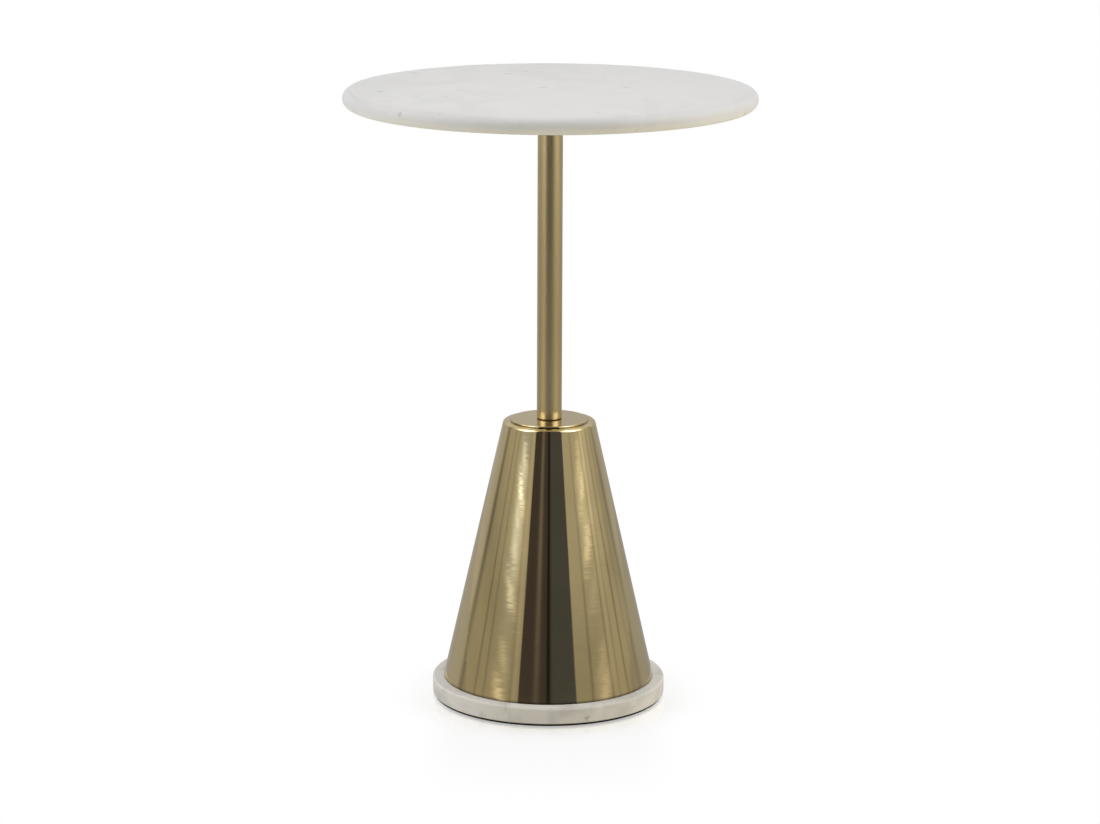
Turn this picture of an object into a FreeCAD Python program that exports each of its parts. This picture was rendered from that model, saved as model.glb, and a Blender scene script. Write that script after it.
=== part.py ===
import FreeCAD, Part
import math
import os

# Wine table: a round marble top on a slim brass-finished stem, a spun metal cone and a marble
# foot disc. One threaded rod runs up the middle and clamps the whole stack together, so the
# table comes apart on a bench. The floor is z = 0, the table's axis is Z, lengths are in mm.

# Driving dimensions of the whole table
TABLE_HEIGHT = 604.5
TOP_DIAMETER = 400.0
TOP_THICKNESS = 16.5

# Foot disc and the soft pad under it
BASE_DIAMETER = 230.0
BASE_THICKNESS = 16.5
BASE_TOP_EDGE_RADIUS = 2.2
BASE_BOTTOM_EDGE_RADIUS = 1.5
PAD_DIAMETER = 226.0
PAD_THICKNESS = 2.0
PAD_OPENING_DIAMETER = 60.0

# Spun cone: its corner diameter is where side and flat top would meet without the shoulder
CONE_HEIGHT = 259.5
CONE_FOOT_DIAMETER = 208.0
CONE_CORNER_DIAMETER = 90.0
CONE_SHOULDER_RADIUS = 3.0
CONE_WALL = 1.2
CAP_DIAMETER = 77.0
CAP_THICKNESS = 2.0
CAP_EDGE_RADIUS = 1.4
STIFFENER_THICKNESS = 4.0
CENTRING_PLATE_THICKNESS = 3.0

# Stem tube and the two spigots that centre it
STEM_DIAMETER = 24.5
STEM_WALL = 1.5
STEM_FOOT_CHAMFER = 0.9
STEM_TOP_CHAMFER = 0.4
BUSH_LENGTH = 20.0
BOSS_LENGTH = 30.0
BOSS_SPIGOT_DIAMETER = 16.0

# Steel flange under the top, its screws and the inserts glued into the marble
FLANGE_DIAMETER = 120.0
FLANGE_THICKNESS = 4.0
FLANGE_EDGE_CHAMFER = 0.8
FLANGE_SCREW_CIRCLE = 92.0
FLANGE_SCREW_COUNT = 4
SCREW_DIAMETER = 6.0
SCREW_HEAD_DIAMETER = 10.5
SCREW_HEAD_HEIGHT = 3.3
SCREW_HEAD_ROUNDING = 2.2
SCREW_KEY_WIDTH = 4.0
SCREW_KEY_DEPTH = 2.0
SCREW_TIP_CHAMFER = 0.8
SCREW_ENGAGEMENT = 8.0
SCREW_WASHER_DIAMETER = 11.0
SCREW_WASHER_THICKNESS = 1.6
INSERT_DIAMETER = 9.0
INSERT_TIP_ROOM = 2.0

# Tie rod and the hardware that tightens it under the foot disc
ROD_DIAMETER = 10.0
ROD_END_CHAMFER = 1.0
ROD_TIP_LENGTH = 1.2
ROD_TOP_ROOM = 1.0
CLAMP_WASHER_DIAMETER = 40.0
CLAMP_WASHER_THICKNESS = 2.0
LOCK_WASHER_DIAMETER = 17.5
LOCK_WASHER_THICKNESS = 2.2
NUT_WIDTH = 16.0
NUT_HEIGHT = 5.0
NUT_CORNER_CHAMFER = 0.9

# Clearances, each on the radius or on one side
ROD_CLEARANCE = 0.25
MARBLE_HOLE_CLEARANCE = 1.0
THREAD_CLEARANCE = 0.05
SPIGOT_CLEARANCE = 0.1
CONE_FIT_CLEARANCE = 0.3
GLUE_GAP = 0.1
RECESS_CLEARANCE = 1.5
SCREW_CLEARANCE = 0.3

# Slit of the spring washers, and its slant in degrees
WASHER_SLIT = 1.2
WASHER_SLIT_SLANT = 20.0

# Heights of the stack, from the floor upwards
BASE_UNDERSIDE = PAD_THICKNESS
CONE_SEAT = BASE_UNDERSIDE + BASE_THICKNESS
CONE_TOP = CONE_SEAT + CONE_HEIGHT
STEM_SEAT = CONE_TOP + CAP_THICKNESS
TOP_UNDERSIDE = TABLE_HEIGHT - TOP_THICKNESS
FLANGE_UNDERSIDE = TOP_UNDERSIDE - FLANGE_THICKNESS

# Sizes that several pieces share
ROD_HOLE_DIAMETER = ROD_DIAMETER + 2 * ROD_CLEARANCE
ROD_THREAD_DIAMETER = ROD_DIAMETER + 2 * THREAD_CLEARANCE
STEM_BORE = STEM_DIAMETER - 2 * STEM_WALL
SPIGOT_DIAMETER = STEM_BORE - 2 * SPIGOT_CLEARANCE
SCREW_HOLE_DIAMETER = SCREW_DIAMETER + 2 * SCREW_CLEARANCE
INSERT_LENGTH = SCREW_ENGAGEMENT + INSERT_TIP_ROOM
RECESS_DIAMETER = CLAMP_WASHER_DIAMETER + 2 * RECESS_CLEARANCE
NUT_TOP = BASE_UNDERSIDE + ROD_TIP_LENGTH + NUT_HEIGHT
LOCK_WASHER_TOP = NUT_TOP + LOCK_WASHER_THICKNESS
RECESS_CEILING = LOCK_WASHER_TOP + CLAMP_WASHER_THICKNESS
CONE_SLOPE = (CONE_FOOT_DIAMETER - CONE_CORNER_DIAMETER) / 2 / CONE_HEIGHT
CONE_WALL_ACROSS = CONE_WALL * math.hypot(1, CONE_SLOPE)

UP = FreeCAD.Vector(0, 0, 1)
CENTRE = FreeCAD.Vector(0, 0, 0)
SHORTEST_EDGE = 1e-6


# Shared ways of making a piece

def rounded_corner(before, corner, after, radius):
    """The two tangent points and the middle point of the arc that rounds one corner of an outline."""
    to_before = (before - corner).normalize()
    to_after = (after - corner).normalize()
    half_angle = to_before.getAngle(to_after) / 2
    bisector = (to_before + to_after).normalize()
    tangent = radius / math.tan(half_angle)
    middle = corner + bisector * (radius / math.sin(half_angle) - radius)
    return corner + to_before * tangent, middle, corner + to_after * tangent


def turned(corners):
    """Solid turned about the table's axis. Each corner is (radius, height) or (radius, height, rounding)."""
    points = [FreeCAD.Vector(corner[0], 0, corner[1]) for corner in corners]
    edges = []
    ends = []
    for index, corner in enumerate(corners):
        rounding = corner[2] if len(corner) > 2 else 0
        start = end = points[index]
        arc = None
        if rounding:
            following = points[(index + 1) % len(points)]
            start, middle, end = rounded_corner(points[index - 1], points[index], following, rounding)
            arc = Part.Arc(start, middle, end).toShape()
        ends.append((start, arc, end))
    for index, (start, arc, end) in enumerate(ends):
        if arc:
            edges.append(arc)
        next_start = ends[(index + 1) % len(ends)][0]
        if end.distanceToPoint(next_start) > SHORTEST_EDGE:
            edges.append(Part.LineSegment(end, next_start).toShape())
    solid = Part.Face(Part.Wire(edges)).revolve(CENTRE, UP, 360)
    return solid if solid.Volume > 0 else solid.reversed()


def flat_ring(diameter, bore, bottom, thickness):
    """Plain washer or punched disc."""
    return turned([
        (bore / 2, bottom),
        (diameter / 2, bottom),
        (diameter / 2, bottom + thickness),
        (bore / 2, bottom + thickness),
    ])


def hexagon_bar(width, bottom, height):
    """Hexagonal prism, measured across its flats."""
    corner_radius = width / math.sqrt(3)
    corners = [
        FreeCAD.Vector(corner_radius * math.cos(math.radians(turn)),
                       corner_radius * math.sin(math.radians(turn)), bottom)
        for turn in range(0, 420, 60)
    ]
    return Part.Face(Part.makePolygon(corners)).extrude(UP * height)


def split_washer(diameter, bore, bottom, thickness):
    """Spring lock washer, drawn flat as it lies when clamped, with its slanting slit."""
    slit = Part.makeBox(diameter, WASHER_SLIT, 3 * thickness)
    slit.translate(FreeCAD.Vector(0, -WASHER_SLIT / 2, bottom - thickness))
    slit.rotate(FreeCAD.Vector(0, 0, bottom + thickness / 2), FreeCAD.Vector(1, 0, 0), WASHER_SLIT_SLANT)
    return flat_ring(diameter, bore, bottom, thickness).cut(slit)


def on_screw_circle(solid):
    """Copies of a solid made on the table's axis, one at each flange screw."""
    copies = []
    for number in range(FLANGE_SCREW_COUNT):
        copy = solid.copy()
        copy.translate(FreeCAD.Vector(FLANGE_SCREW_CIRCLE / 2, 0, 0))
        copy.rotate(CENTRE, UP, 360 * (number + 0.5) / FLANGE_SCREW_COUNT)
        copies.append(copy)
    return Part.makeCompound(copies)


# Foot of the table

def foot_pad():
    """Soft disc glued under the marble foot, open in the middle for the nut."""
    return flat_ring(PAD_DIAMETER, PAD_OPENING_DIAMETER, 0, PAD_THICKNESS)


def marble_base():
    """Foot disc with eased edges, a rod hole and a recess below that hides the nut."""
    rod_hole = ROD_DIAMETER / 2 + MARBLE_HOLE_CLEARANCE
    return turned([
        (RECESS_DIAMETER / 2, BASE_UNDERSIDE),
        (BASE_DIAMETER / 2, BASE_UNDERSIDE, BASE_BOTTOM_EDGE_RADIUS),
        (BASE_DIAMETER / 2, CONE_SEAT, BASE_TOP_EDGE_RADIUS),
        (rod_hole, CONE_SEAT),
        (rod_hole, RECESS_CEILING),
        (RECESS_DIAMETER / 2, RECESS_CEILING),
    ])


def clamp_washer():
    """Wide washer that spreads the rod's pull over the marble."""
    return flat_ring(CLAMP_WASHER_DIAMETER, ROD_HOLE_DIAMETER, LOCK_WASHER_TOP, CLAMP_WASHER_THICKNESS)


def lock_washer():
    """Spring washer between the nut and the wide washer."""
    return split_washer(LOCK_WASHER_DIAMETER, ROD_HOLE_DIAMETER, NUT_TOP, LOCK_WASHER_THICKNESS)


def base_nut():
    """Thin hexagon nut with its corners turned off on both faces."""
    bottom = NUT_TOP - NUT_HEIGHT
    across_corners = NUT_WIDTH / math.sqrt(3)
    face_radius = across_corners - 2 * NUT_CORNER_CHAMFER
    blank = turned([
        (ROD_THREAD_DIAMETER / 2, bottom),
        (face_radius, bottom),
        (across_corners, bottom + NUT_CORNER_CHAMFER),
        (across_corners, NUT_TOP - NUT_CORNER_CHAMFER),
        (face_radius, NUT_TOP),
        (ROD_THREAD_DIAMETER / 2, NUT_TOP),
    ])
    return blank.common(hexagon_bar(NUT_WIDTH, bottom, NUT_HEIGHT))


def tie_rod():
    """Threaded rod from the nut under the foot to the boss under the top."""
    bottom = BASE_UNDERSIDE
    top = TOP_UNDERSIDE - ROD_TOP_ROOM
    radius = ROD_DIAMETER / 2
    return turned([
        (0, bottom),
        (radius - ROD_END_CHAMFER, bottom),
        (radius, bottom + ROD_END_CHAMFER),
        (radius, top - ROD_END_CHAMFER),
        (radius - ROD_END_CHAMFER, top),
        (0, top),
    ])


# Cone

def cone_radius(height):
    """Radius of the cone's outer side at a height above the floor, before its shoulder."""
    return CONE_FOOT_DIAMETER / 2 - CONE_SLOPE * (height - CONE_SEAT)


def cone_shell():
    """Spun sheet-metal cone of even wall, with a rounded shoulder and a flat top pierced for the rod."""
    inner_top = CONE_TOP - CONE_WALL
    rod_hole = ROD_HOLE_DIAMETER / 2
    return turned([
        (cone_radius(CONE_SEAT), CONE_SEAT),
        (cone_radius(CONE_TOP), CONE_TOP, CONE_SHOULDER_RADIUS),
        (rod_hole, CONE_TOP),
        (rod_hole, inner_top),
        (cone_radius(inner_top) - CONE_WALL_ACROSS, inner_top, CONE_SHOULDER_RADIUS - CONE_WALL),
        (cone_radius(CONE_SEAT) - CONE_WALL_ACROSS, CONE_SEAT),
    ])


def cone_plate(bottom, thickness):
    """Steel plate whose slanting edge follows the inside of the cone, with a hole for the rod."""
    top = bottom + thickness
    gap = CONE_WALL_ACROSS + CONE_FIT_CLEARANCE
    return turned([
        (ROD_HOLE_DIAMETER / 2, bottom),
        (cone_radius(bottom) - gap, bottom),
        (cone_radius(top) - gap, top),
        (ROD_HOLE_DIAMETER / 2, top),
    ])


def centring_plate():
    """Plate on the marble that keeps the cone's foot in line with the rod."""
    return cone_plate(CONE_SEAT, CENTRING_PLATE_THICKNESS)


def stiffener():
    """Plate under the cone's flat top that carries the clamping load, clear of the shoulder inside."""
    top = CONE_TOP - CONE_WALL
    shoulder = CONE_SHOULDER_RADIUS - CONE_WALL
    edge = cone_radius(top) - CONE_WALL_ACROSS - shoulder - CONE_FIT_CLEARANCE
    return flat_ring(2 * edge, ROD_HOLE_DIAMETER, top - STIFFENER_THICKNESS, STIFFENER_THICKNESS)


def cone_cap():
    """Raised polished disc on the cone, which the stem stands on."""
    return turned([
        (ROD_HOLE_DIAMETER / 2, CONE_TOP),
        (CAP_DIAMETER / 2, CONE_TOP),
        (CAP_DIAMETER / 2, STEM_SEAT, CAP_EDGE_RADIUS),
        (ROD_HOLE_DIAMETER / 2, STEM_SEAT),
    ])


# Stem

def stem_tube():
    """Brass-finished tube held between the cap and the flange. Its chamfered foot leaves a dark seam."""
    outer = STEM_DIAMETER / 2
    inner = STEM_BORE / 2
    return turned([
        (inner, STEM_SEAT),
        (outer - STEM_FOOT_CHAMFER, STEM_SEAT),
        (outer, STEM_SEAT + STEM_FOOT_CHAMFER),
        (outer, FLANGE_UNDERSIDE - STEM_TOP_CHAMFER),
        (outer - STEM_TOP_CHAMFER, FLANGE_UNDERSIDE),
        (inner, FLANGE_UNDERSIDE),
    ])


def stem_bush():
    """Turned bush on the cap that centres the lower end of the tube on the rod."""
    return flat_ring(SPIGOT_DIAMETER, ROD_HOLE_DIAMETER, STEM_SEAT, BUSH_LENGTH)


def flange_boss():
    """Threaded boss welded into the flange, which takes the rod and centres the top of the tube."""
    thread = ROD_THREAD_DIAMETER / 2
    spigot = BOSS_SPIGOT_DIAMETER / 2
    return turned([
        (thread, FLANGE_UNDERSIDE - BOSS_LENGTH),
        (SPIGOT_DIAMETER / 2, FLANGE_UNDERSIDE - BOSS_LENGTH),
        (SPIGOT_DIAMETER / 2, FLANGE_UNDERSIDE),
        (spigot, FLANGE_UNDERSIDE),
        (spigot, TOP_UNDERSIDE),
        (thread, TOP_UNDERSIDE),
    ])


# Top of the table

def top_flange():
    """Round steel plate under the marble, with its screw holes and a hole for the boss."""
    boss_hole = BOSS_SPIGOT_DIAMETER / 2 + SPIGOT_CLEARANCE
    plate = turned([
        (boss_hole, FLANGE_UNDERSIDE),
        (FLANGE_DIAMETER / 2 - FLANGE_EDGE_CHAMFER, FLANGE_UNDERSIDE),
        (FLANGE_DIAMETER / 2, FLANGE_UNDERSIDE + FLANGE_EDGE_CHAMFER),
        (FLANGE_DIAMETER / 2, TOP_UNDERSIDE),
        (boss_hole, TOP_UNDERSIDE),
    ])
    drill = Part.makeCylinder(SCREW_HOLE_DIAMETER / 2, FLANGE_THICKNESS, UP * FLANGE_UNDERSIDE)
    return plate.cut(on_screw_circle(drill))


def flange_screws():
    """Button-head screws with a hexagon socket, driven up into the inserts."""
    seat = FLANGE_UNDERSIDE - SCREW_WASHER_THICKNESS
    head_bottom = seat - SCREW_HEAD_HEIGHT
    tip = TOP_UNDERSIDE + SCREW_ENGAGEMENT
    radius = SCREW_DIAMETER / 2
    screw = turned([
        (0, head_bottom),
        (SCREW_HEAD_DIAMETER / 2, head_bottom, SCREW_HEAD_ROUNDING),
        (SCREW_HEAD_DIAMETER / 2, seat),
        (radius, seat),
        (radius, tip - SCREW_TIP_CHAMFER),
        (radius - SCREW_TIP_CHAMFER, tip),
        (0, tip),
    ])
    return on_screw_circle(screw.cut(hexagon_bar(SCREW_KEY_WIDTH, head_bottom, SCREW_KEY_DEPTH)))


def flange_lock_washers():
    """Spring washers under the screw heads."""
    bottom = FLANGE_UNDERSIDE - SCREW_WASHER_THICKNESS
    return on_screw_circle(
        split_washer(SCREW_WASHER_DIAMETER, SCREW_HOLE_DIAMETER, bottom, SCREW_WASHER_THICKNESS)
    )


def top_inserts():
    """Threaded brass inserts, flush with the underside of the marble."""
    bore = SCREW_DIAMETER + 2 * THREAD_CLEARANCE
    return on_screw_circle(flat_ring(INSERT_DIAMETER, bore, TOP_UNDERSIDE, INSERT_LENGTH))


def marble_top():
    """Round slab with a full bullnose edge and blind holes below for the inserts."""
    bullnose = TOP_THICKNESS / 2
    slab = turned([
        (0, TOP_UNDERSIDE),
        (TOP_DIAMETER / 2, TOP_UNDERSIDE, bullnose),
        (TOP_DIAMETER / 2, TABLE_HEIGHT, bullnose),
        (0, TABLE_HEIGHT),
    ])
    drill = Part.makeCylinder(INSERT_DIAMETER / 2 + GLUE_GAP, INSERT_LENGTH + GLUE_GAP, UP * TOP_UNDERSIDE)
    return slab.cut(on_screw_circle(drill))


PIECES = [
    foot_pad, marble_base, clamp_washer, lock_washer, base_nut, tie_rod,
    cone_shell, centring_plate, stiffener, cone_cap,
    stem_tube, stem_bush, flange_boss,
    top_flange, flange_screws, flange_lock_washers, top_inserts, marble_top,
]

os.makedirs("parts", exist_ok=True)
for piece in PIECES:
    shape = piece()
    shape.exportStep(f"parts/{piece.__name__}.step")
    solids = len(shape.Solids)
    print(f"{piece.__name__}: {solids} solid(s), {shape.Volume / 1000:.2f} cm3, valid {shape.isValid()}")
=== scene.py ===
import math

import bmesh
import bpy
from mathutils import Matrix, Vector


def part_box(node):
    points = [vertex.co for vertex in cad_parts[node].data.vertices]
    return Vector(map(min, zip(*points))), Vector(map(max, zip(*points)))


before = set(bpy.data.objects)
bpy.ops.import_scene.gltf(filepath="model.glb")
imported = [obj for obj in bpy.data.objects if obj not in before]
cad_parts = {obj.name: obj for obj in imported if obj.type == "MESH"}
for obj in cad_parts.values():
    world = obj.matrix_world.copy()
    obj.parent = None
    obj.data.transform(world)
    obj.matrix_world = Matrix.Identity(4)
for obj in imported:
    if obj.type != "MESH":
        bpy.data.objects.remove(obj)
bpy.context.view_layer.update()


# Foot pad: a disc of black needle felt, glued under the marble foot so that the stone doesn't
# scratch the floor. It is set in from the edge and shows only as a thin dark line.

class Tone:
    """A value that varies over a surface. Sums written with it add the shader's own nodes."""

    def __init__(self, socket):
        self.socket = socket

    def node(self, kind, settings, sockets, output=0):
        """Adds a node beside this value: first its settings, then its sockets' numbers or links."""
        tree = self.socket.id_data
        node = tree.nodes.new("ShaderNode" + kind)
        for name, value in settings.items():
            setattr(node, name, value)
        for name, value in sockets.items():
            if isinstance(value, Tone):
                tree.links.new(value.socket, node.inputs[name])
            else:
                node.inputs[name].default_value = value
        return Tone(node.outputs[output]) if node.outputs else None

    def maths(self, operation, first, second=0.0):
        """One Math node, for the operators below and for what has no operator."""
        return self.node("Math", {"operation": operation}, {0: first, 1: second})

    def __add__(self, other):
        return self.maths("ADD", self, other)

    def __sub__(self, other):
        return self.maths("SUBTRACT", self, other)

    def __rsub__(self, other):
        return self.maths("SUBTRACT", other, self)

    def __mul__(self, other):
        return self.maths("MULTIPLY", self, other)

    def __truediv__(self, other):
        return self.maths("DIVIDE", self, other)

    def __rtruediv__(self, other):
        return self.maths("DIVIDE", other, self)

    def __abs__(self):
        return self.maths("ABSOLUTE", self)

    __radd__ = __add__
    __rmul__ = __mul__

    def part(self, axis):
        """One coordinate of a place: 0, 1 or 2 for X, Y or Z."""
        return self.node("SeparateXYZ", {}, {0: self}, axis)

    def length(self):
        """How far a place is from the origin."""
        return self.node("VectorMath", {"operation": "LENGTH"}, {0: self}, "Value")

    def stretched(self, scale):
        """The same place with each axis scaled, so that a pattern becomes streaks."""
        return self.node("Mapping", {}, {"Vector": self, "Scale": scale})

    def noise(self, scale, detail=2.0, distortion=0.0):
        """Even noise about 0.5, with its size in waves per metre."""
        return self.node("TexNoise", {}, {
            "Vector": self, "Scale": scale, "Detail": detail, "Distortion": distortion,
        })

    def ramp(self, low, high, start=0.0, end=1.0):
        """Eases from start to end while this value goes from low to high."""
        return self.node("MapRange", {"interpolation_type": "SMOOTHSTEP"}, {
            "Value": self, "From Min": low, "From Max": high, "To Min": start, "To Max": end,
        })

    def fade(self, low, high):
        """Eases from 1 to 0 while this value goes from low to high."""
        return self.ramp(low, high, 1.0, 0.0)

    def between(self, first, second):
        """A colour that goes from first to second as this value goes from 0 to 1."""
        return self.node("Mix", {"data_type": "RGBA"}, {0: self, 6: first, 7: second}, 2)

    def bump(self):
        """The surface's normal, with this value as the height of the surface in metres."""
        return self.node("Bump", {}, {"Height": self, "Distance": 1.0, "Strength": 1.0})


def new_material(name):
    """An empty material, and the place on the piece in metres that its patterns start from."""
    material = bpy.data.materials.new(name)
    material.use_nodes = True
    tree = material.node_tree
    tree.nodes.clear()
    return material, Tone(tree.nodes.new("ShaderNodeTexCoord").outputs["Object"])


def surface(place, sockets):
    """Ends a material with one surface shader."""
    shader = place.node("BsdfPrincipled", {}, sockets)
    place.node("OutputMaterial", {}, {"Surface": shader})


def dress(material, *names):
    """Gives a finish to pieces that keep the shape they already have."""
    for name in names:
        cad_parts[name].material_slots[0].material = material


BLACK_WOOL = (0.006, 0.006, 0.005, 1)
GREY_WOOL = (0.035, 0.032, 0.028, 1)
FELT_NAP = 0.0004
felt, place = new_material("felt")
fibres = place.stretched((1, 1, 2.5)).noise(1400, 4, 1.5)
tufts = place.noise(160, 3)
surface(place, {
    "Base Color": (fibres * 0.6 + tufts * 0.4).between(BLACK_WOOL, GREY_WOOL),
    "Roughness": 0.95,
    "Normal": ((fibres + tufts) * FELT_NAP).bump(),
    "Specular IOR Level": 0.1,
})
dress(felt, "foot_pad")


# Marble foot disc: cut from a 16.5 mm slab of cream-white marble, its edges eased and its faces
# honed to a satin sheen. The stone has soft grey clouds and short grey flecks.

CRYSTAL_WHITE = (0.93, 0.93, 0.92, 1)
SAWN_WAVE = 0.00003
CRYSTAL_HEIGHT = 0.000008
FLECK_WANDER = (0.008, 0.008, 0.008)


def white_marble(name, stone, shade, clouds, flecks, polish):
    """White marble with soft clouds and small flecks, which turn it to the shade.

    clouds is how many there are to a metre, and how far they go to the shade. flecks is the same,
    and how many times longer they are along X than across. polish goes from 0, matt, to 1.
    """
    clouds_per_metre, cloud_depth = clouds
    flecks_per_metre, fleck_depth, fleck_length = flecks
    material, place = new_material(name)
    cloud = place.stretched((1.0, 0.5, 1.0)).noise(clouds_per_metre, 3, 0.6).ramp(0.44, 0.68)
    wander = place.node("TexNoise", {}, {"Vector": place, "Scale": 150.0}, "Color")
    ragged = place.node(
        "VectorMath", {"operation": "MULTIPLY_ADD"}, {0: wander, 1: FLECK_WANDER, 2: place},
    )
    cells = {"Vector": ragged.stretched((1 / fleck_length, 1.0, 1.0)), "Scale": flecks_per_metre}
    spot = place.node("TexVoronoi", {}, cells, "Distance").fade(0.05, 0.17)
    chosen = place.node("TexVoronoi", {}, cells, "Color").ramp(0.45, 0.60)
    crystals = place.noise(900, 2).ramp(0.3, 0.7)
    darkened = (cloud * cloud_depth + spot * chosen * fleck_depth).between(stone, shade)
    surface(place, {
        "Base Color": (crystals * 0.05).between(darkened, CRYSTAL_WHITE),
        "Roughness": 0.56 - 0.40 * polish + 0.08 * cloud + 0.06 * crystals,
        "Normal": (place.noise(60, 2) * SAWN_WAVE + crystals * CRYSTAL_HEIGHT).bump(),
        "Specular IOR Level": 0.5 * polish,
    })
    return material


CREAM = (0.860, 0.824, 0.778, 1)
GREY_GREEN = (0.330, 0.345, 0.310, 1)
foot_marble = white_marble(
    "foot_marble", CREAM, GREY_GREEN, clouds=(38, 0.32), flecks=(40, 0.55, 1.0), polish=0.3,
)
dress(foot_marble, "marble_base")


# Clamping hardware: a threaded rod, thin nut, spring washer and wide washer under the foot, and the
# screws and spring washers under the top, in bright zinc-plated steel. The plating has a faint blue
# and straw bloom.

BLUE_BLOOM = (0.52, 0.55, 0.60, 1)
STRAW_BLOOM = (0.66, 0.63, 0.55, 1)
SCUFF_DEPTH = 0.00002
zinc, place = new_material("zinc_plate")
scuffs = place.stretched((1.0, 1.0, 4.0)).noise(700, 3)
surface(place, {
    "Base Color": place.noise(120, 3, 1.0).between(BLUE_BLOOM, STRAW_BLOOM),
    "Metallic": 1.0,
    "Roughness": 0.24 + 0.22 * scuffs,
    "Normal": (scuffs * SCUFF_DEPTH).bump(),
})
dress(zinc, "clamp_washer", "lock_washer", "base_nut", "tie_rod")
dress(zinc, "flange_screws", "flange_lock_washers")


# Plates and bushes inside the cone and the stem: laser-cut and turned mild steel, oiled and left
# bare with patches of mill scale, because nobody sees them.

DARK_SCALE = (0.20, 0.20, 0.21, 1)
BARE_STEEL = (0.46, 0.45, 0.44, 1)
SCALE_HEIGHT = 0.00008
mild_steel, place = new_material("mild_steel")
scale_patches = place.noise(45, 5, 0.8)
surface(place, {
    "Base Color": scale_patches.between(DARK_SCALE, BARE_STEEL),
    "Metallic": 0.9,
    "Roughness": 0.45 + 0.25 * scale_patches,
    "Normal": (scale_patches * SCALE_HEIGHT).bump(),
})
dress(mild_steel, "centring_plate", "stiffener", "stem_bush", "flange_boss")


# Cone: sheet metal spun over a former, polished bright, plated in brass and lacquered. The roller
# leaves gentle waves and fine lines round the cone, which break its highlights up. A painted shade
# darkens the line where its foot meets the stone.

WAVE_PITCH = 0.028
# Colour of the shade painted at the feet of the cone, the cap and the stem.
PAINTED_SHADE_BROWN = (0.05, 0.044, 0.034, 1)


def brass_finish(
    name, colour, roughness, grain, grain_depth,
    drawn_out=(0.0, 0.0), wave_depth=0.0, painted_foot_shade=None, haze=0.0,
):
    """Brass with fine lines, waves round the upright axis if asked, and painted shade at its foot.

    grain is the number of lines to a metre along X, Y and Z. drawn_out is how far reflections are
    drawn out, and the share of a turn from level. The painted shade at the foot is given as the
    height of the foot, how far up the shade goes and how much it darkens. haze is the share of the
    shine that a dull lacquer takes.
    """
    material, place = new_material(name)
    height = place.part(2)
    lines = place.stretched(grain).noise(1, 3)
    tarnish = place.noise(16, 4, 0.5).ramp(0.35, 0.8)
    relief = lines * grain_depth
    if wave_depth:
        wander = place.stretched((1.5, 1.5, 22)).noise(1, 2)
        phase = height * (2 * math.pi / WAVE_PITCH) + wander * 7.0
        relief = relief + phase.maths("SINE", phase) * wave_depth
    tarnished = tuple(0.86 * level for level in colour[:3]) + (1,)
    toned = (0.6 * tarnish).between(colour, tarnished)
    # Painted shade: the colour turns towards dark brown near the foot, where shade falls.
    if painted_foot_shade:
        foot, reach, share = painted_foot_shade
        toned = height.ramp(foot, foot + reach, share, 0.0).between(toned, PAINTED_SHADE_BROWN)
    surface(place, {
        "Base Color": toned,
        "Metallic": 1.0 - haze,
        "Roughness": roughness + 0.04 * (lines - 0.5) + 0.03 * tarnish,
        "Normal": relief.bump(),
        "Anisotropic": drawn_out[0],
        "Anisotropic Rotation": drawn_out[1],
    })
    return material


BRASS = (0.72, 0.57, 0.285, 1)
ROUND_LINES = (12, 12, 170)
UPWARD = 0.25
spun_brass = brass_finish(
    "spun_brass", BRASS, 0.045, ROUND_LINES, 0.000042,
    drawn_out=(0.2, UPWARD), wave_depth=0.000008,
    painted_foot_shade=(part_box("cone_shell")[0][2], 0.0032, 0.75),
)
dress(spun_brass, "cone_shell")


# Cap: a turned disc on top of the cone, polished to a mirror so that the stem's foot shows in it.
# Its side carries painted shade, darkest in the corner over the cone.

EVEN_GRAIN = (500, 500, 500)
# The cap's lowest 2.4 mm are darkened as painted shade.
mirror_brass = brass_finish(
    "mirror_brass", BRASS, 0.05, EVEN_GRAIN, 0.000001,
    painted_foot_shade=(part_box("cone_cap")[0][2], 0.0024, 0.5),
)
dress(mirror_brass, "cone_cap")


# Stem: drawn seamless tube with a satin brass finish, brushed lengthwise, chamfered at the foot
# and stood on the cap with a dark hairline seam. The flange under the top has the same finish.

SATIN_BRASS = (0.605, 0.476, 0.235, 1)
UPRIGHT_LINES = (1500, 1500, 8)
LEVEL = 0.0
# The stem's lowest 2 mm carry painted shade, which darkens the seam on the cap.
satin_brass = brass_finish(
    "satin_brass", SATIN_BRASS, 0.28, UPRIGHT_LINES, 0.000004,
    drawn_out=(0.45, LEVEL), painted_foot_shade=(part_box("stem_tube")[0][2], 0.002, 0.7), haze=0.1,
)
dress(satin_brass, "stem_tube", "top_flange")


# Inserts: threaded brass bushes, roughened on the outside so that the glue keys, and glued into
# blind holes in the underside of the stone.

KEYED = (1500, 1500, 1500)
dress(brass_finish("insert_brass", SATIN_BRASS, 0.35, KEYED, 0.00002), "top_inserts")


# Top: a round slab of the same marble, whiter and calmer than the foot, turned to a full
# bullnose and honed. Its flecks are short dashes that lie one way.

WHITE_STONE = (0.760, 0.750, 0.734, 1)
COOL_GREY = (0.320, 0.320, 0.320, 1)
top_marble = white_marble(
    "top_marble", WHITE_STONE, COOL_GREY, clouds=(16, 0.08), flecks=(58, 0.44, 2.2), polish=0.4,
)
dress(top_marble, "marble_top")


# Floor: a pale sweep that shows as white. Close to the foot it keeps a faint real shadow and mirror
# image, and in front of the foot a painted shadow dims its glow as well. Seen from below it is
# clear, so that the underside of the table shows.

FLOOR_RADIUS = 14
WHITE = (1, 1, 1, 1)
SHADOW_CREAM = (0.80, 0.76, 0.68, 1)
MIRROR_GAIN = (1.8, 1.8, 1.8, 1)


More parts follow.
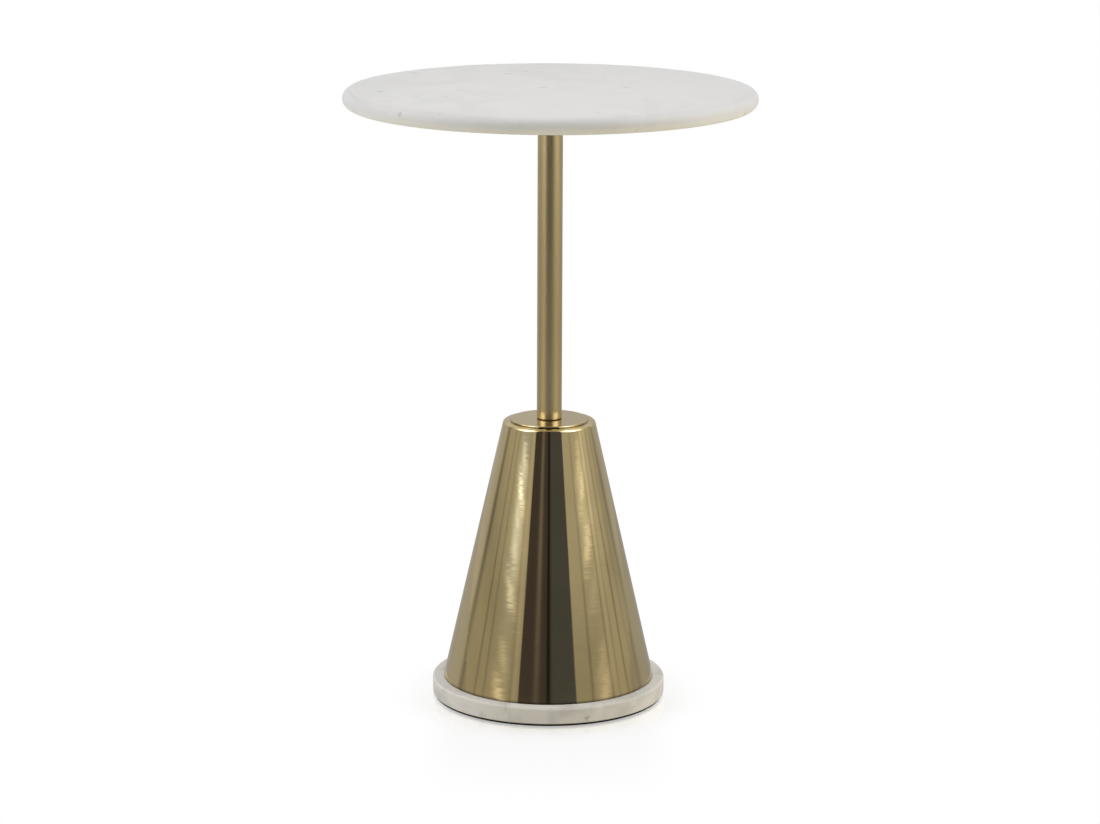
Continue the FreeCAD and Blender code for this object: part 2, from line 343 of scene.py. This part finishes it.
def seen_directly(place):
    """1 for rays from the camera, a mirror or clear glass, and 0 for light spread by a surface."""
    rays = ("Is Camera Ray", "Is Glossy Ray", "Is Transmission Ray")
    camera, mirror, glass = (place.node("LightPath", {}, {}, ray) for ray in rays)
    return place.maths("MINIMUM", camera + mirror + glass, 1.0)


def from_above_only(place, shader):
    """Ends a material that is clear from below."""
    from_below = place.node("NewGeometry", {}, {}, "Backfacing")
    clear = place.node("BsdfTransparent", {}, {})
    place.node("OutputMaterial", {}, {
        "Surface": place.node("MixShader", {}, {0: from_below, 1: shader, 2: clear}),
    })


def staged(name, mesh, material, height=0.0):
    """A piece of the set, lifted to its height, which isn't part of the table."""
    bmesh.ops.translate(mesh, vec=(0, 0, height), verts=mesh.verts)
    data = bpy.data.meshes.new(name)
    mesh.to_mesh(data)
    mesh.free()
    data.materials.append(material)
    piece = bpy.data.objects.new(name, data)
    bpy.context.scene.collection.objects.link(piece)
    return piece


def disc(radius):
    """A flat round sheet."""
    mesh = bmesh.new()
    bmesh.ops.create_circle(mesh, cap_ends=True, segments=96, radius=radius)
    return mesh


sweep, place = new_material("sweep")
reach = place.length()
plain = reach.ramp(0.108, 0.150, 0.40, 0.80) + reach.ramp(0.125, 0.170, 0.0, 0.20)
shadowed_part = (1 - plain) * place.part(1).ramp(-0.10, 0.02, 1.0, 0.4)
plain_white = (1 - shadowed_part) * seen_directly(place)
# Painted shadow: the floor's glow is dimmed in a patch in front of the foot.
painted_shadow_in_front = reach.ramp(0.13, 0.36, 0.052, 0.0) * place.part(1).fade(-0.12, -0.02)
painted_shadow_in_front = painted_shadow_in_front * abs(place.part(0)).fade(0.08, 0.13)
shadowed = place.node("BsdfDiffuse", {}, {"Color": SHADOW_CREAM})
mirrored = place.node("BsdfGlossy", {}, {"Color": MIRROR_GAIN, "Roughness": 0.05})
lit = place.node("MixShader", {}, {0: 0.65, 1: shadowed, 2: mirrored})
glow = place.node("Emission", {}, {"Color": WHITE, "Strength": 1 - painted_shadow_in_front})
from_above_only(place, place.node("MixShader", {}, {0: plain_white, 1: lit, 2: glow}))
staged("floor", disc(FLOOR_RADIUS), sweep)


# Light tent: a ring of white cloth round the table with a roof and a ground sheet, open towards the
# camera, which doesn't see it. Two lamps shine through the cloth, and its folds show as thin darker
# lines in the polished cone.

TENT_RADIUS = 1.3
TENT_HEIGHT = 1.5
BOUNCE_TINT = (0.80, 1.0, 1.75, 1)

# Folds: degrees from the opening, depth, and width in degrees.
FOLDS = (
    (-111.5, 0.185, 4.8), (-85, 0.14, 1.6), (-73, 0.10, 1.4), (-41, 0.06, 2.5), (48.5, 0.12, 1.8),
    (73, 0.14, 1.6), (82, 0.10, 1.5), (94.5, 0.20, 1.6), (107, 0.07, 1.6), (121, 0.18, 4.5),
)
# Bright patches in front of the lamps: height and width in metres, and strength.
LEFT_PATCHES = (
    (0.450, 0.010, 0.42), (0.404, 0.009, 1.60), (0.366, 0.008, 0.42), (0.328, 0.014, 0.22),
    (0.270, 0.010, 1.00), (0.185, 0.014, 0.25), (0.132, 0.014, 0.55),
)
RIGHT_PATCHES = (
    (0.414, 0.007, 0.22), (0.381, 0.009, 0.62), (0.311, 0.013, 0.42), (0.245, 0.016, 0.10),
    (0.152, 0.015, 0.18), (0.112, 0.018, 0.42),
)


def soft_band(value, centre, width):
    """1 at the centre, fading to nothing over the width."""
    gap = (value - centre) / width
    return gap.maths("EXPONENT", 0 - gap * gap)


def spread_light(place):
    """1 for light that a matt surface gathers, and 0 for what a polished one shows."""
    return place.node("LightPath", {}, {}, "Diffuse Depth").ramp(0, 1)


def polished_bounce(place):
    """1 for light that reaches a matt surface by way of a polished one, and 0 for the rest."""
    return spread_light(place) * place.node("LightPath", {}, {}, "Is Glossy Ray")


def turn_from_opening(place):
    """Degrees round the upright axis, from the opening to the right."""
    across = place.part(0)
    return across.maths("ARCTAN2", across, 0 - place.part(1)) * (180 / math.pi)


def lamp_heads(turn):
    """The two places where the lamps behind the cloth are brightest."""
    return soft_band(turn, -64, 20) + soft_band(turn, 62, 21)


def folded_cloth(place, turn, height):
    """Brightness of the cloth's own surface, with its folds."""
    wrinkled = turn + (place.stretched((0.8, 0.8, 5.0)).noise(1, 2) - 0.5) * 3.0
    fold_share = height.ramp(-0.02, 0.16, 0.70, 1.0)
    level = 0.40 + turn.ramp(-122, -112, 0.12, 0.0) + turn.ramp(112, 122, 0.0, 0.08)
    level = level + height.ramp(0.18, 0.42, 0.0, 0.08) - abs(turn).ramp(135, 160, 0.0, 0.05)
    level = level - soft_band(height, 0.18, 0.07) * 0.04
    for fold, depth, width in FOLDS:
        level = level - soft_band(wrinkled, fold, width) * fold_share * depth
    return level


def side_light(turn, height):
    """What the cloth gets from the edge of the opening and from the right-hand lamp's spread."""
    level = soft_band(turn, -37, 2.5) * 0.06
    level = level + soft_band(turn, 84, 18) * height.ramp(0.18, 0.33, 0.05, 0.15)
    level = level + soft_band(turn, 78, 3.0) * height.ramp(0.22, 0.32, 0.03, 0.15)
    level = level + soft_band(turn, 90, 26) * soft_band(height, 0.215, 0.055) * 0.07
    level = level + soft_band(turn, 98, 16) * height.ramp(0.22, 0.32, 0.03, 0.0)
    at_ground = height.ramp(0.0, 0.02, 0.5, 0.0)
    return level + at_ground * abs(turn).ramp(46, 72, 0.3, 1.0) * abs(turn).fade(80, 90)


def lamp_patches(place, turn, height):
    """The lamps' light on the lower cloth, in bright patches with ragged edges."""
    ragged = turn + (place.stretched((4.0, 4.0, 40.0)).noise(1, 4) - 0.5) * 8.0
    left = height.ramp(0.285, 0.312, 0.06, 0.40) * height.fade(0.452, 0.478)
    right = height.ramp(0.270, 0.310, 0.0, 0.24) * height.fade(0.425, 0.455)
    for patch, width, strength in LEFT_PATCHES:
        left = left + soft_band(height, patch, width) * strength
    for patch, width, strength in RIGHT_PATCHES:
        right = right + soft_band(height, patch, width) * strength
    return soft_band(ragged, -53.3, 8.5) * left + soft_band(ragged, 63, 9.0) * right


def cloth_light(place, gathered=1.0):
    """Colour and brightness of the cloth, and of the dark room that the opening shows.

    gathered is below 1 where the folds are drawn together towards the front.
    """
    height = place.part(2)
    turn = turn_from_opening(place) / gathered
    spread = spread_light(place)
    shown = 1 - spread
    lamps = lamp_heads(turn) * shown
    lamp_band = height.ramp(0.58, 0.63) * height.fade(0.69, 0.75) * lamps

    level = folded_cloth(place, turn, height) + side_light(turn, height)
    level = level + lamp_patches(place, turn, height)
    level = level + lamp_band * 8.0 + height.ramp(0.75, 0.95, 0.0, 1.6) * lamps
    level = level + height.ramp(0.72, 0.95, 0.0, 0.3) * abs(turn).fade(100, 130) * shown
    level = level + height.ramp(0.72, 0.82, 0.0, 0.15) * abs(turn).ramp(110, 135) * shown

    bluish = abs(turn).ramp(104, 125) * abs(turn).fade(130, 150) * shown
    tint = bluish.between(WHITE, (0.98, 1.0, 1.08, 1))
    lamp_side = soft_band(turn, -54.5, 7.5) * height.ramp(0.12, 0.40)
    tint = lamp_side.between(tint, (0.93, 1.04, 1.32, 1))
    near_ground = height.fade(0.02, 0.30) * abs(turn).fade(86, 112)
    tint = near_ground.between(tint, (1.0, 0.96, 0.91, 1))
    tint = lamp_band.between(tint, (0.90, 1.02, 1.42, 1))

    opening = turn.ramp(-32.5, -31.0) * turn.fade(29, 30.5)
    room = 0.062 + turn.ramp(1, 6, 0.0, 0.02) - soft_band(turn, 0, 2.2) * 0.05
    room = room + soft_band(turn, -13, 3.2) * height.ramp(0.15, 0.40, 0.05, 0.12)
    room = room + height.ramp(0.05, 0.20, 0.18, 0.0) + height.ramp(0.85, 1.3, 0.10, 0.40) * spread
    room_tint = turn.ramp(-2, 2).between((1.0, 0.93, 1.06, 1), (0.95, 1.03, 1.36, 1))
    room_tint = spread.between(room_tint, (1.0, 0.96, 0.80, 1))
    return opening.between(tint, room_tint), opening * room + (1 - opening) * level


def glowing(place, colour, strength):
    """Ends a material that only gives light."""
    light = place.node("Emission", {}, {"Color": colour, "Strength": strength})
    place.node("OutputMaterial", {}, {"Surface": light})


wall_cloth, place = new_material("tent_cloth")
colour, brightness = cloth_light(place)
bounce = polished_bounce(place)
gain = 1 + place.part(2).ramp(0.2, 1.2, 0.88, -0.15) * spread_light(place) + 3.4 * bounce
glowing(place, bounce.between(colour, BOUNCE_TINT), brightness * gain)
wall = bmesh.new()
bmesh.ops.create_cone(
    wall, cap_ends=False, segments=128, radius1=TENT_RADIUS, radius2=TENT_RADIUS, depth=TENT_HEIGHT,
)
tent = staged("light_tent", wall, wall_cloth, TENT_HEIGHT / 2)
tent.visible_camera = False

roof_cloth, place = new_material("roof_cloth")
reach = place.stretched((1, 1, 0)).length()
bounce = polished_bounce(place)
roof_lamps = reach.ramp(0.5, 0.9) * lamp_heads(turn_from_opening(place))
roof_glow = place.part(1).ramp(-0.5, 0.6, 0.10, 0.85) + roof_lamps * 6.0
roof_glow = (roof_glow + reach.ramp(0.45, 0.75, 2.4, 0.0)) * (1 - spread_light(place))
roof_glow = roof_glow + abs(place.part(0)).ramp(0.1, 0.6, 0.2, 1.8) * bounce
roof_tint = roof_lamps.between(WHITE, (0.92, 1.02, 1.40, 1))
glowing(place, bounce.between(roof_tint, BOUNCE_TINT), roof_glow)
roof = staged("tent_roof", disc(TENT_RADIUS), roof_cloth, TENT_HEIGHT)
roof.visible_camera = False
roof.visible_diffuse = False
roof.visible_shadow = False

GROUND_GATHER = 0.047
GROUND_LIFT = 0.0002
ground_cloth, place = new_material("ground_cloth")
reach = place.length()
spread = spread_light(place)
colour, brightness = cloth_light(place, gathered=1 - GROUND_GATHER / reach)
warm_bounce = place.part(0).ramp(-0.6, 0.5).between((1.0, 0.95, 0.70, 1), (1.0, 0.86, 0.42, 1))
bounce_level = reach.ramp(0.12, 0.45, 0.25, 0.84) - reach.ramp(0.40, 0.85, 0.0, 0.24)
from_above_only(place, place.node("Emission", {}, {
    "Color": spread.between(colour, warm_bounce),
    "Strength": spread * bounce_level + (1 - spread) * brightness * 0.88,
}))
ground = staged("ground_cloth", disc(TENT_RADIUS), ground_cloth, GROUND_LIFT)
ground.visible_camera = False
ground.visible_shadow = False


# Lamps and surroundings: a soft lamp overhead, a weak one in front, one at each side, and an even
# white room. The lamps don't show in the brass, which shows the tent's cloth instead.

AIM = Vector((0, 0, 0.35))
SIDE_LAMP_REACH = 1.1
SIDE_LAMP_HEIGHT = 0.36
NEUTRAL = (1.0, 1.0, 1.0)
WARM = (1.0, 0.95, 0.86)


def soft_lamp(name, size, watts, spot, colour=NEUTRAL):
    """Round soft lamp that faces the middle of the table."""
    lamp = bpy.data.lights.new(name, "AREA")
    lamp.shape = "DISK"
    lamp.size = size
    lamp.energy = watts
    lamp.color = colour
    stand = bpy.data.objects.new(name, lamp)
    stand.location = spot
    stand.rotation_euler = (Vector(spot) - AIM).to_track_quat("Z", "Y").to_euler()
    stand.visible_glossy = False
    stand.visible_camera = False
    bpy.context.scene.collection.objects.link(stand)


soft_lamp("overhead", 0.5, 7.3, (0.0, -0.20, 1.9))
soft_lamp("front_lamp", 0.4, 0.42, (0.0, -1.2, 0.60))
for name, degrees, watts, colour in (
    ("left_lamp", -75, 2.9, NEUTRAL), ("right_lamp", 72, 3.4, WARM),
):
    heading = math.radians(degrees)
    across, along = SIDE_LAMP_REACH * math.sin(heading), -SIDE_LAMP_REACH * math.cos(heading)
    soft_lamp(name, 0.6, watts, (across, along, SIDE_LAMP_HEIGHT), colour)

world = bpy.data.worlds.new("studio")
world.use_nodes = True
world.node_tree.nodes.clear()
place = Tone(world.node_tree.nodes.new("ShaderNodeTexCoord").outputs["Generated"])
room_light = seen_directly(place).ramp(0, 1, 0.45, 1.0)
place.node("OutputWorld", {}, {
    "Surface": place.node("Background", {}, {"Color": WHITE, "Strength": room_light}),
})
bpy.context.scene.world = world


# Camera: at the photograph's distance and height, tilted down, and turned by a fifth of a degree
# because the photograph isn't quite level.

TILT = math.radians(12.94)
ROLL = math.radians(0.22)
view = bpy.data.cameras.new("camera")
view.sensor_fit = "HORIZONTAL"
view.sensor_width = 36.0
view.lens = 115.2
camera = bpy.data.objects.new("camera", view)
camera.location = (0.0007, -3.3647, 1.059)
camera.rotation_mode = "XYZ"
camera.rotation_euler = (math.pi / 2 - TILT, 0, 0)
camera.rotation_euler.rotate_axis("Z", ROLL)
bpy.context.scene.collection.objects.link(camera)
bpy.context.scene.camera = camera
bpy.context.scene.view_settings.view_transform = "Standard"
